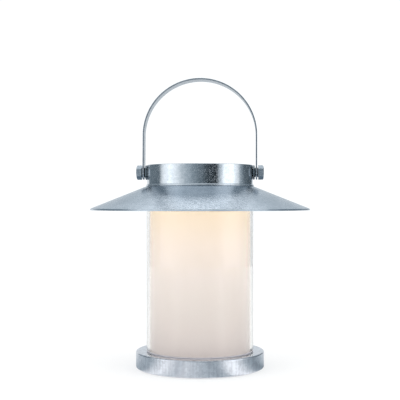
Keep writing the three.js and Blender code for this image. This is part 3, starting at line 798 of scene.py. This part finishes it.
def make_seat_cup():
    wall = 1.8 * mm
    floor_thickness = 2.0 * mm
    boss_radius = 3.4 * mm
    floor_bottom = base_top + 0.1 * mm
    floor_top = floor_bottom + floor_thickness
    outline = filleted(
        (0, floor_bottom, 0), (cup_radius, floor_bottom, 0.4), (cup_radius, cup_rim, 0.5),
        (cup_radius - wall, cup_rim, 0.5), (cup_radius - wall, floor_top, 1.0), (0, floor_top, 0),
    )
    cup = revolved("seat_cup", outline)
    bosses = pegs(boss_radius, cup_low, floor_top - 0.5 * mm, "floor_screw")
    bores = pegs(bore_radius, cup_low - mm, floor_bottom + mm, "floor_screw")
    cut(join(cup, *bosses), *bores)
    shown(cup, white_plastic, "lantern", "glass_seat_cup")


def make_base():
    make_base_shell()
    make_floor_plate()
    for number in three:
        make_foot(number)
        make_screw(f"base_screw_{number}", f"floor_screw_{number}", "lantern")
    make_seat_cup()
    for end in ("seat", "top"):
        gasket = ring_of(f"{end}_gasket", f"glass_{end}_gasket", liner_inner, 0.25)
        shown(gasket, pale_silicone, "lantern", f"glass_{end}_gasket")


# ---- Glass, roof and collar ----

def make_glass():
    inner = glass_radius - glass_wall
    outline = filleted(
        (inner, glass_bottom, 0.5), (glass_radius, glass_bottom, 1.2),
        (glass_radius, glass_top, 0.5), (inner, glass_top, 0.5),
        steps=6,
    )
    shown(revolved("glass_tube", outline), clear_glass, "lantern", "glass_cylinder")
    liner = ring_of("liner_sheet", "opal_liner", liner_inner, 0.1)
    shown(liner, opal_sheet, "lantern", "opal_liner")


def make_roof():
    hole = liner_inner + 0.1 * mm
    flange_under = roof_neck - roof_sheet
    rim_top = roof_rim + roof_hem
    slope = (roof_neck - rim_top) / (roof_radius - roof_flange)
    hem_inner = roof_radius - roof_hem_width
    hem_edge = roof_hem / 5
    drop = roof_sheet * hypot(1, slope)
    hem_meet = roof_neck - slope * (hem_inner - roof_flange) - drop
    outline = filleted(
        (hole, flange_under, 0.2), (roof_flange, flange_under, 1.0), (hem_inner, hem_meet, 0.15),
        (hem_inner, roof_rim, 0.2), (roof_radius, roof_rim, 0.2),
        (roof_radius, roof_rim + hem_edge, 0.15),
        (roof_radius - roof_hem_bevel, rim_top + slope * roof_hem_bevel, 0.4),
        (roof_flange, roof_neck, 2.0), (hole, roof_neck, 0.2),
        steps=6,
    )
    shown(revolved("roof_sheet", outline, 256), roof_zinc, "lantern", "roof_cone")


def make_collar():
    radius = bead_radius - collar_bead
    inner = radius - collar_sheet
    bead_top = collar_bottom + collar_bead_height
    outline = filleted(
        (inner, collar_bottom, 0.2), (bead_radius, collar_bottom, 0.7),
        (bead_radius, bead_top, 0.8), (radius, bead_top + 0.2 * mm, 0.3),
        (radius, collar_top, 0.5), (inner, collar_top, 0.5),
        steps=6,
    )
    collar = revolved("collar_band", outline)
    bore = peg(bolt_hole, -bead_radius - mm, bead_radius + mm)
    moved(bore, 0, 0, pivot_height, lay_down)
    shown(cut(collar, bore), collar_zinc, "lantern", "collar_ring")


def make_carrier():
    spigot = liner_inner - 0.3 * mm
    inner = unit_radius + 0.3 * mm
    ledge_inner = 45.5 * mm
    ledge_top = seal_bottom - 0.1 * mm
    ledge_height = 2.4 * mm
    shoulder = roof_neck + 0.1 * mm
    outline = filleted(
        (ledge_inner, ledge_top - ledge_height, 0.3), (inner, carrier_bottom, 0.3),
        (spigot, carrier_bottom, 0.5), (spigot, shoulder, 0.2), (carrier_radius, shoulder, 0.3),
        (carrier_radius, carrier_top, 0.5), (inner, carrier_top, 0.5), (inner, ledge_top, 0.2),
        (ledge_inner, ledge_top, 0.3),
    )
    carrier = revolved("carrier", outline)
    slot_width = 15.6 * mm
    slot_floor = pivot_height - hex_flats / 2 - 0.3 * mm
    slot = raised("tool", rectangle(4 * carrier_radius, slot_width), slot_floor, carrier_top + mm)
    shown(cut(carrier, slot), dark_plastic, "lantern", "carrier_ring")


def make_head():
    make_glass()
    make_roof()
    make_collar()
    make_carrier()


# ---- Bail and its bolts ----

def make_bail():
    """A flat strap bent to an arch, with rounded ends that are drilled for the bolts."""
    half_width = strap_width / 2
    lift = bail_high.z - pivot_height
    reach = (lift - half_width * sin(bail_lean)) / cos(bail_lean)
    arch_radius = bail_high.x - strap_thickness / 2
    leg = reach - bail_high.x
    arch_length = pi * arch_radius
    total = 2 * leg + arch_length

    def on_strap(distance, across):
        """The strap's middle surface at a distance from the right pivot and across its width."""
        if distance < leg:
            return arch_radius, across, distance
        if distance > total - leg:
            return -arch_radius, across, total - distance
        angle = (distance - leg) / arch_radius
        return arch_radius * cos(angle), across, leg + arch_radius * sin(angle)

    shape = bmesh.new()
    end_steps = 48
    across_steps = end_steps // 4
    for side in (0, 1):
        rims = []
        for step in range(end_steps):
            angle = 2 * pi * step / end_steps
            sine, cosine = sin(angle), cos(angle)
            reach_out = half_width if cosine < 0 else half_width / max(abs(sine), cosine)
            pair = []
            for radius in (bolt_hole, reach_out):
                distance = radius * cosine
                distance = total - distance if side else distance
                pair.append(shape.verts.new(on_strap(distance, radius * sine)))
            rims.append(pair)
        for step, (near, far) in enumerate(rims):
            near_after, far_after = rims[(step + 1) % end_steps]
            shape.faces.new((near, far, far_after, near_after))
    leg_steps = 8
    arch_steps = 120
    stations = [half_width + (leg - half_width) * step / leg_steps for step in range(leg_steps)]
    stations += [leg + arch_length * step / arch_steps for step in range(arch_steps)]
    stations += [total - station for station in reversed(stations[:leg_steps])]
    stations.insert(leg_steps + arch_steps, total - leg)
    rows = []
    for station in stations:
        row = []
        for step in range(across_steps + 1):
            angle = radians(90 * step / across_steps - 45)
            row.append(shape.verts.new(on_strap(station, half_width * tan(angle))))
        rows.append(row)
    for row, after in zip(rows, rows[1:]):
        for step in range(across_steps):
            shape.faces.new((row[step], row[step + 1], after[step + 1], after[step]))
    bail = object_from("bail", shape)
    solid = bail.modifiers.new("thickness", "SOLIDIFY")
    solid.thickness = strap_thickness
    solid.offset = 0
    bevelled(bail, 0.25, angle=60)
    moved(bail, 0, 0, pivot_height, Matrix.Rotation(-bail_lean, 4, "X"))
    shown(bail, bail_zinc, "bail", "bail_strap")


def hexagon(angle, first_corner):
    """Distance from the axis to a hexagon's side at an angle."""
    within = (angle - first_corner) % (pi / 3) - pi / 6
    return hex_flats / 2 / cos(within)


def chamfer_drop(reach):
    """How far a hexagon's corner is cut back along the axis by its turned chamfer."""
    return max(0.0, reach - hex_face) * tan(radians(32))


def set_at_pivot(made, side):
    """Lays a piece made along +Z outwards along +X at the pivot, or along -X on the left."""
    turn = Matrix.Rotation(0 if side == "right" else pi, 4, "Z")
    return moved(made, 0, 0, pivot_height, turn @ lay_down)


def span_of(node):
    """Nearest and furthest distance of a pivot piece from the lantern's axis."""
    low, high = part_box(node)
    return min(abs(low.x), abs(high.x)), max(abs(low.x), abs(high.x))


def make_bolt(side):
    node = f"bail_bolt_{side}"
    tip, end = span_of(node)
    head = span_of(f"outer_washer_{side}")[1] + 0.1 * mm
    crown = 0.35 * mm
    core = 3.45 * mm
    pitch = 1.25 * mm
    turns, shank = thread(bolt_radius, core, tip + 0.6 * mm, head - 0.5 * mm, pitch)

    def outline(angle):
        reach = hexagon(angle, 0)
        return [
            (0, tip), (core, tip), *turns, (bolt_radius, shank), (bolt_radius, head),
            (reach, head), (reach, end - crown - chamfer_drop(reach)),
            (hex_face, end - crown), (hex_face - 0.8 * mm, end - 0.1 * mm),
            (hex_face - 2.4 * mm, end), (0, end),
        ]

    bolt = set_at_pivot(revolved(f"bolt_{side}", outline, middle_steps), side)
    shown(bolt, bolt_zinc, "lantern", node, sharp=22)


def make_nut(name, node, side, first_corner, material):
    inner, outer = span_of(node)
    hole = bolt_radius + 0.1 * mm

    def outline(angle):
        reach = hexagon(angle, first_corner)
        drop = chamfer_drop(reach) / 2
        return [
            (hole, inner + 0.2 * mm), (hole + 0.3 * mm, inner), (hex_face, inner),
            (reach, inner + drop), (reach, outer - drop), (hex_face, outer),
            (hole + 0.3 * mm, outer), (hole, outer - 0.2 * mm),
        ]

    nut = set_at_pivot(revolved(name, outline, middle_steps), side)
    shown(nut, material, "lantern", node, sharp=22)


def make_washer(name, node, side):
    inner, outer = span_of(node)
    low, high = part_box(node)
    radius = (high.z - low.z) / 2
    washer = revolved(name, ring_outline(bolt_hole, radius, inner, outer, 0.2), middle_steps)
    set_at_pivot(washer, side)
    shown(washer, nylon, "lantern", node)


def make_pivots():
    for side in ("left", "right"):
        make_bolt(side)
        make_washer(f"washer_outside_{side}", f"outer_washer_{side}", side)
        make_washer(f"washer_inside_{side}", f"inner_washer_{side}", side)
        # The spacer nut takes the darker zinc, which paints its shade.
        make_nut(f"thin_nut_{side}", f"spacer_nut_{side}", side, 0, shaded_nut_zinc)
        make_nut(f"inner_nut_{side}", f"lock_nut_{side}", side, pi / 6, bolt_zinc)


# ---- Solar unit ----

floor_top = unit_bottom + 2.2 * mm


def make_bezel():
    lip = 0.5 * mm
    cover_rebate = cover_radius + 0.3 * mm
    board_rebate = board_radius + 0.1 * mm
    seat = board_bottom - 0.1 * mm
    outline = filleted(
        (board_rebate - 2 * mm, bezel_bottom, 0.3), (bezel_radius, bezel_bottom, 0.3),
        (bezel_radius, bezel_top, 0.9), (cover_rebate + lip, bezel_top, 0.2),
        (cover_rebate, cover_top, 0.1), (cover_rebate, cover_bottom - 0.1 * mm, 0.1),
        (board_rebate, cover_bottom - 0.1 * mm, 0.2), (board_rebate, seat, 0.1),
        (board_rebate - 2 * mm, seat, 0.3),
    )
    bezel = revolved("bezel", outline)
    pilots = pegs(bore_radius, bezel_bottom - mm, bezel_bottom + 3 * mm, "unit_screw")
    shown(cut(bezel, *pilots), dark_plastic, "solar_unit", "panel_bezel")


def make_panel():
    shown(disc_of("cover_disc", "panel_cover", 0.3), clear_plastic, "solar_unit", "panel_cover")
    shown(disc_of("panel_disc", "panel_board", 0.1), board_white, "solar_unit", "panel_board")
    for number in (1, 2, 3, 4):
        make_solar_cell(number)


def make_solar_cell(number):
    """A cell with clipped corners, and the two tinned ribbons that join it to its neighbours."""
    node = f"solar_cell_{number}"
    low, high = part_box(node)
    corner = 1.2 * mm
    face = high.z - 0.04 * mm
    outline = [
        (low.x + corner, low.y), (high.x - corner, low.y), (high.x, low.y + corner),
        (high.x, high.y - corner), (high.x - corner, high.y), (low.x + corner, high.y),
        (low.x, high.y - corner), (low.x, low.y + corner),
    ]
    shown(raised(f"cell_{number}", outline, low.z, face), silicon_cell, "solar_unit", node)
    ribbon_width = 1.1 * mm
    ribbon_thickness = 0.12 * mm
    overhang = 1.6 * mm
    middle = (low.x + high.x) / 2
    apart = (high.x - low.x) / 4
    for side in (-1, 1):
        strip = rectangle(ribbon_width, high.y - low.y + 2 * overhang, middle + side * apart, 0)
        name = f"ribbon_{number}_{'left' if side < 0 else 'right'}"
        ribbon = bevelled(raised(name, strip, face, face + ribbon_thickness), 0.04)
        shown(ribbon, nickel, "solar_unit")


def door_outline(margin):
    """The battery door's outline, grown by a margin: a rectangle with a round tab for its screw."""
    low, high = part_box("battery_door")
    screw = centre_of("battery_door_screw")
    tab = high.x - screw.x + margin
    side = margin - low.x
    tab_side = tab * sin(radians(60))
    corner = 0.8
    corners = [
        (-side, low.y - margin, corner), (side, low.y - margin, corner),
        (side, screw.y - tab_side, 0.4),
    ]
    for degrees in range(-60, 61, 12):
        angle = radians(degrees)
        corners.append((screw.x + tab * cos(angle), screw.y + tab * sin(angle), 0))
    corners += [
        (side, screw.y + tab_side, 0.4), (side, high.y + margin, corner),
        (-side, high.y + margin, corner),
    ]
    return filleted(*corners)


def make_housing():
    """The unit's cup, with its posts and everything that is cut out of its floor."""
    inner = unit_radius - 2.0 * mm
    outline = filleted(
        (0, unit_bottom, 0), (unit_radius, unit_bottom, 1.0), (unit_radius, housing_top, 0.3),
        (inner, housing_top, 0.3), (inner, floor_top, 1.0), (0, floor_top, 0),
    )
    housing = revolved("housing", outline)
    below = unit_bottom - mm
    above = floor_top + mm
    rooted = floor_top - mm
    door_low, door_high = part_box("battery_door")
    door_screw = centre_of("battery_door_screw")
    ledge = 2.0 * mm
    opening = rectangle(-2 * (door_low.x + ledge), door_high.y - door_low.y - ledge,
                        0, door_screw.y)
    slot = rectangle(8.2 * mm, 3.8 * mm, 0, centre_of("switch_case").y)
    posts = [peg(2.5 * mm, rooted, floor_top + 4 * mm, door_screw.x, door_screw.y)]
    cuts = [
        peg(bore_radius, below, floor_top + 3 * mm, door_screw.x, door_screw.y),
        raised("tool", door_outline(0.3 * mm), below, door_high.z + 0.1 * mm),
        raised("tool", opening, below, above),
        raised("tool", rounded(slot, 0.6), below, above),
        peg(6 * mm, below, above),
    ]
    posts += pegs(3.2 * mm, rooted, housing_top - 0.1 * mm, "unit_screw")
    bores = pegs(bore_radius, below, housing_top + mm, "unit_screw")
    sinks = pegs(3.1 * mm, below, unit_bottom + 1.9 * mm, "unit_screw")
    for bore_and_sink in zip(bores, sinks):         # each sink right after its own bore
        cuts += bore_and_sink
    board_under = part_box("circuit_board")[0].z
    posts += pegs(2.5 * mm, rooted, board_under - 0.1 * mm, "board_screw", 2)
    cuts += pegs(bore_radius, board_under - 5 * mm, board_under + mm, "board_screw", 2)
    cut(join(housing, *posts), *cuts)
    bevelled(housing, 0.2, segments=2)
    shown(housing, white_plastic, "solar_unit", "unit_housing")


def make_battery_door():
    low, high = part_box("battery_door")
    screw = centre_of("battery_door_screw")
    door = raised("door", door_outline(0), low.z, high.z)
    cuts = [peg(1.8 * mm, low.z - mm, high.z + mm, screw.x, screw.y)]
    for step in range(5):
        groove = rectangle(0.8 * mm, 8 * mm, low.x + (4 + 1.8 * step) * mm, screw.y)
        cuts.append(raised("tool", groove, low.z - mm, low.z + 0.4 * mm))
    cut(door, *cuts)
    bevelled(door, 0.15, segments=2)
    shown(door, white_plastic, "solar_unit", "battery_door")


def make_seal():
    seal = ring_of("seal", "unit_seal_ring", 45.8 * mm, 0.3)
    shown(seal, black_rubber, "solar_unit", "unit_seal_ring")


def make_lamp():
    """The frosted cap, half as deep as it is wide, and the lamp and its board above it."""
    flatten = (lens_top - lens_bottom) / lens_radius
    dome_steps = 16

    def dome(reach):
        angles = [pi / 2 * step / dome_steps for step in range(dome_steps + 1)]
        return [(reach * sin(a), lens_top - flatten * reach * cos(a)) for a in angles]

    wall = 1.2 * mm
    outline = dome(lens_radius) + dome(lens_radius - wall)[::-1]
    shown(revolved("lens", outline, middle_steps), frosted, "solar_unit", "led_lens")
    board = disc_of("lamp_board", "led_board", 0.15, middle_steps)
    shown(board, board_white, "solar_unit", "led_board")
    shown(bevelled(block("lamp", "led_chip"), 0.3), phosphor, "solar_unit", "led_chip")


def make_switch():
    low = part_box("switch_knob")[0]
    middle = centre_of("switch_knob")
    grooves = []
    for step in (-1, 0, 1):
        groove = rectangle(0.45 * mm, 4 * mm, middle.x + step * mm, middle.y)
        grooves.append(raised("tool", groove, low.z - mm, low.z + 0.35 * mm))
    knob = bevelled(cut(block("knob", "switch_knob"), *grooves), 0.12, segments=2)
    shown(knob, dark_plastic, "switch", "switch_knob")
    case = bevelled(block("switch_body", "switch_case"), 0.4)
    shown(case, dark_plastic, "solar_unit", "switch_case")


def wire(name, points, radius):
    """A round wire with closed ends along a smooth curve that the points pull into shape."""
    path = bpy.data.curves.new(name, "CURVE")
    path.dimensions = "3D"
    path.bevel_depth = radius
    path.bevel_resolution = 3
    path.resolution_u = 8
    path.use_fill_caps = True
    spline = path.splines.new("NURBS")
    spline.points.add(len(points) - 1)
    for point, place in zip(spline.points, points):
        point.co = (*place, 1)
    spline.order_u = 3
    spline.use_endpoint_u = True
    drawn = linked(name, path)
    mesh = baked(drawn)
    bpy.data.objects.remove(drawn)
    return linked(name, mesh)


def contact_plate(name, low, high, thickness):
    """A thin upright plate with rounded corners that faces along X, from its low corner on."""
    middle = (low + high) / 2
    corners = rectangle(high.z - low.z, high.y - low.y)
    plate = raised(name, rounded(corners, 1), low.x, low.x + thickness)
    return moved(plate, 0, middle.y, middle.z, lay_down)


def make_battery():
    low, high, middle = measured("battery_cell")
    radius = (high.z - low.z) / 2
    half = (high.x - low.x) / 2
    nub = 2.7 * mm
    shoulder = half - 1.2 * mm
    outline = filleted(
        (0, -half, 0), (radius, -half, 0.9), (radius, shoulder, 0.9), (nub, shoulder, 0.2),
        (nub, half, 0.5), (0, half, 0),
    )
    cell = moved(revolved("cell", outline, middle_steps), 0, middle.y, middle.z, lay_down)
    shown(cell, sleeve, "solar_unit", "battery_cell")
    cell.data.materials.append(nickel)
    for face in cell.data.polygons:
        from_axis = hypot(face.center.y - middle.y, face.center.z - middle.z)
        if from_axis < radius - 1.0 * mm:
            face.material_index = 1

    low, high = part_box("battery_contact_plus")
    plate = bevelled(contact_plate("plus_contact", low, high, high.x - low.x), 0.12)
    shown(plate, nickel, "solar_unit", "battery_contact_plus")

    low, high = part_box("battery_contact_spring")
    sheet = 0.5 * mm
    thickness = 0.4 * mm
    plate = contact_plate("minus_contact", low, high, sheet)
    turns = 2.5
    stations = 60
    points = []
    for step in range(stations + 1):
        share = step / stations
        angle = share * turns * 2 * pi
        coil = (3 + 2 * share) * mm
        x = high.x - thickness - share * (high.x - low.x - sheet / 2 - thickness)
        points.append((x, middle.y + coil * cos(angle), middle.z + coil * sin(angle)))
    spring = join(plate, wire("coil", points, thickness))
    shown(spring, nickel, "solar_unit", "battery_contact_spring", sharp=50)


def make_circuit_board():
    low, high, middle = measured("circuit_board")
    board = cut(block("electronics", "circuit_board", 1.5),
                *pegs(1.8 * mm, low.z - mm, high.z + mm, "board_screw", 2))
    shown(board, board_green, "solar_unit", "circuit_board")
    chip = raised("control_chip", rectangle(6 * mm, 5 * mm, middle.x, middle.y),
                  high.z, high.z + 1.5 * mm)
    shown(bevelled(chip, 0.2), dark_plastic, "solar_unit")
    for name, radius, height, x in (("choke", 3.2, 4, -12), ("capacitor", 2.5, 7, 12)):
        outline = disc_outline(radius * mm, high.z, high.z + height * mm, 0.4)
        part = moved(revolved(name, outline, small_steps), x * mm, middle.y - 6 * mm, 0)
        shown(part, black_cover, "solar_unit")


def make_lead(node, cover, near_top):
    """A wire that bows sideways between two boards.

    The end that is nearer to the lantern's axis is the upper one if near_top is true."""
    low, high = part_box(node)
    radius = 0.7 * mm
    near_x, far_x = sorted((low.x, high.x), key=abs)
    near_x += copysign(radius, near_x)
    far_x -= copysign(radius, far_x)
    lower = (high.y - radius, low.z + radius)
    upper = (low.y + radius, high.z - radius)
    near, far = (upper, lower) if near_top else (lower, upper)
    bow = [(start + end) / 2 for start, end in zip(lower, upper)]
    path = [(near_x, *near), (far_x, *bow), (far_x, *far)]
    lead = wire(node.replace("lead", "wire"), path, radius)
    shown(lead, cover, "solar_unit", node)


def make_unit():
    make_bezel()
    make_panel()
    make_housing()
    make_battery_door()
    make_seal()
    make_lamp()
    make_switch()
    make_battery()
    make_circuit_board()
    for number in three:
        make_screw(f"housing_screw_{number}", f"unit_screw_{number}", "solar_unit")
    make_screw("door_screw", "battery_door_screw", "solar_unit")
    for number in (1, 2):
        make_screw(f"circuit_screw_{number}", f"board_screw_{number}", "solar_unit", flip=True)
    for part, near_top in (("panel", True), ("led", False)):
        make_lead(f"{part}_lead_plus", red_cover, near_top)
        make_lead(f"{part}_lead_minus", black_cover, near_top)


# ---- Build ----

make_camera()
make_stage()
make_base()
make_head()
make_bail()
make_pivots()
make_unit()
